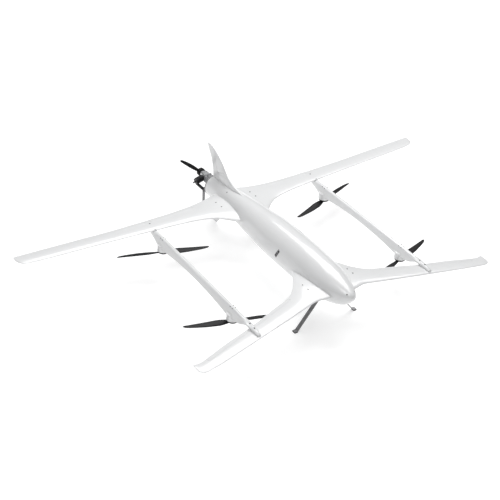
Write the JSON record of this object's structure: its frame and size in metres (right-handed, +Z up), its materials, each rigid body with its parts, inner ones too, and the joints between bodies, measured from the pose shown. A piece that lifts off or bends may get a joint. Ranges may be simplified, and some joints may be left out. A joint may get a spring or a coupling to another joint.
{
  "type": "fixed wing drone",
  "caption": "White fixed-wing drone with canard, swept twin booms carrying downward lift rotors, and a tail engine turning a pusher propeller.",
  "frame": {"origin": "on the ground below the middle of the aircraft's length and span", "axes": "+X towards the aircraft's left wing tip, -Y towards the nose, +Z up"},
  "size_m": [3.2, 1.8743, 0.594],
  "materials": {
    "white_gloss": "gloss white paint over composite",
    "carbon": "satin black carbon composite",
    "black_metal": "satin black",
    "motor_core": "varnished windings",
    "dark_metal": "heat-dark paint",
    "bare_aluminium": "machined",
    "steel": "oiled steel",
    "leg_metal": "satin",
    "rubber_pad": "matt black",
    "dark_plastic": "matt dark grey",
    "black_plastic": "matt black",
    "tube": "carbon tube",
    "tank": "translucent white",
    "battery": "shrink wrap"
  },
  "bodies": {
    "airframe": {"battery_packs": "battery", "boom_left": "white_gloss", "boom_right": "white_gloss", "canard_joiner_tube": "tube", "canard_left": "white_gloss", "canard_right": "white_gloss", "carburettor": "bare_aluminium", "crankcase": "bare_aluminium", "dorsal_base": "white_gloss", "engine_cylinder": "dark_metal", "engine_standoffs": "bare_aluminium", "equipment_tray": "black_plastic", "fin": "white_gloss", "firewall": "dark_plastic", "foot_pads": "rubber_pad", "fuel_tank": "tank", "fuselage_hatch": "white_gloss", "fuselage_hull": "white_gloss", "gear_bolts": "steel", "gear_leg_left": "leg_metal", "gear_leg_right": "leg_metal", "gear_saddle": "black_plastic", "motor_pod_front_left": "white_gloss", "motor_pod_front_right": "white_gloss", "motor_pod_rear_left": "white_gloss", "motor_pod_rear_right": "white_gloss", "motor_screws": "steel", "motor_stator_front_left": "motor_core", "motor_stator_front_right": "motor_core", "motor_stator_rear_left": "motor_core", "motor_stator_rear_right": "motor_core", "muffler": "dark_metal", "nose_cap": "white_gloss", "servo_actuators": "black_plastic", "side_vents": "dark_plastic", "skin_screws": "steel", "spark_plug": "steel", "tail_strut": "leg_metal", "ventral_fin": "white_gloss", "wing_joiner_tube": "tube", "wing_left": "white_gloss", "wing_right": "white_gloss"},
    "flap_left_body": {"flap_left": "white_gloss"},
    "flap_right_body": {"flap_right": "white_gloss"},
    "aileron_left_body": {"aileron_left": "white_gloss"},
    "aileron_right_body": {"aileron_right": "white_gloss"},
    "elevator_left_body": {"elevator_left": "white_gloss"},
    "elevator_right_body": {"elevator_right": "white_gloss"},
    "rudder_body": {"rudder": "white_gloss"},
    "lift_rotor_front_left": {"rotor_bell_front_left": "black_metal", "lift_propeller_front_left": "carbon"},
    "lift_rotor_front_right": {"rotor_bell_front_right": "black_metal", "lift_propeller_front_right": "carbon"},
    "lift_rotor_rear_left": {"rotor_bell_rear_left": "black_metal", "lift_propeller_rear_left": "carbon"},
    "lift_rotor_rear_right": {"rotor_bell_rear_right": "black_metal", "lift_propeller_rear_right": "carbon"},
    "pusher_rotor": {"crankshaft": "black_metal", "pusher_propeller": "carbon", "propeller_washer": "black_metal"}
  },
  "joints": [
    {"name": "flap_left_hinge", "type": "hinge", "parent": "airframe", "child": "flap_left_body", "pos_m": [0.305, 0.51, 0.31288], "axis": [0.9997, -0.0243, -0.0008], "range_deg": [-25, 0]},
    {"name": "flap_right_hinge", "type": "hinge", "parent": "airframe", "child": "flap_right_body", "pos_m": [-0.305, 0.51, 0.31288], "axis": [0.9997, 0.0243, 0.0008], "range_deg": [-25, 0]},
    {"name": "aileron_left_hinge", "type": "hinge", "parent": "airframe", "child": "aileron_left_body", "pos_m": [0.68, 0.503, 0.31289], "axis": [0.9995, 0.0284, 0.0136], "range_deg": [-25, 25]},
    {"name": "aileron_right_hinge", "type": "hinge", "parent": "airframe", "child": "aileron_right_body", "pos_m": [-0.68, 0.503, 0.31289], "axis": [0.9995, -0.0284, -0.0136], "range_deg": [-25, 25]},
    {"name": "elevator_left_hinge", "type": "hinge", "parent": "airframe", "child": "elevator_left_body", "pos_m": [0.312, -0.672, 0.29979], "axis": [0.962, -0.2646, -0.0672], "range_deg": [-22, 22]},
    {"name": "elevator_right_hinge", "type": "hinge", "parent": "airframe", "child": "elevator_right_body", "pos_m": [-0.312, -0.672, 0.29979], "axis": [0.962, 0.2646, 0.0672], "range_deg": [-22, 22]},
    {"name": "rudder_hinge", "type": "hinge", "parent": "airframe", "child": "rudder_body", "pos_m": [0, 0.679, 0.426], "axis": [0, 0.3964, 0.9181], "range_deg": [-25, 25]},
    {"name": "lift_rotor_front_left_spin", "type": "hinge", "parent": "airframe", "child": "lift_rotor_front_left", "pos_m": [0.656, -0.556, 0.204], "axis": [0, 0, 1], "continuous": true},
    {"name": "lift_rotor_front_right_spin", "type": "hinge", "parent": "airframe", "child": "lift_rotor_front_right", "pos_m": [-0.656, -0.556, 0.204], "axis": [0, 0, 1], "continuous": true},
    {"name": "lift_rotor_rear_left_spin", "type": "hinge", "parent": "airframe", "child": "lift_rotor_rear_left", "pos_m": [0.656, 0.302, 0.204], "axis": [0, 0, 1], "continuous": true},
    {"name": "lift_rotor_rear_right_spin", "type": "hinge", "parent": "airframe", "child": "lift_rotor_rear_right", "pos_m": [-0.656, 0.302, 0.204], "axis": [0, 0, 1], "continuous": true},
    {"name": "pusher_spin", "type": "hinge", "parent": "airframe", "child": "pusher_rotor", "pos_m": [0, 0.918, 0.307], "axis": [0, 1, 0], "continuous": true}
  ]
}
